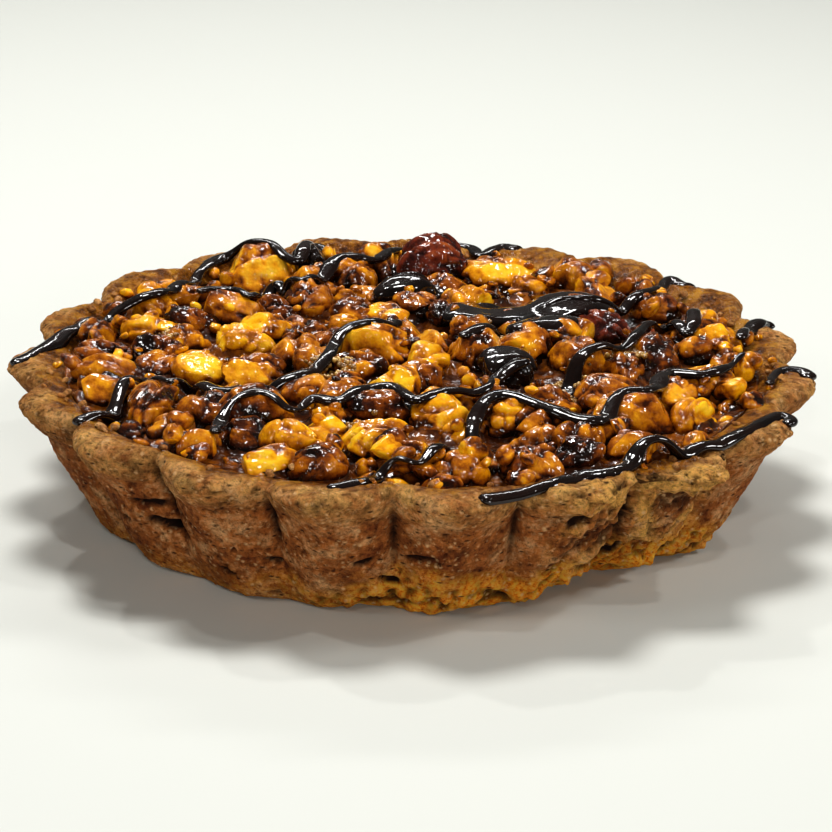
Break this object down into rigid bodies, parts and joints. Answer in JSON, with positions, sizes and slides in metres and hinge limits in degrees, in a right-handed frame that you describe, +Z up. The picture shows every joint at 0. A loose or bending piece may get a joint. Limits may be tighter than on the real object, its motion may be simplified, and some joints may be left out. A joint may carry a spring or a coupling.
{
  "type": "pecan pie",
  "caption": "Small round pecan pie: a fluted cocoa shortcrust shell filled with caramel, heaped with glazed broken pecans and crossed by thick strokes of dark chocolate.",
  "frame": {"origin": "centre of the flat base, on the surface that the pie stands on", "axes": "+Z up through the middle of the pie; -Y towards the front, where the foot is ragged; +X to the right, towards the crumbled stretch of crust"},
  "size_m": [0.1196, 0.1194, 0.0274],
  "materials": {
    "shortcrust": "matt, sandy baked crumb",
    "glazed_pecans": "glossy caramel over roasted nuts",
    "caramel": "glossy, set",
    "dark_chocolate": "glossy, set"
  },
  "bodies": {
    "root": {"crust": "shortcrust", "pecan_filling": "glazed_pecans"}
  },
  "joints": []
}
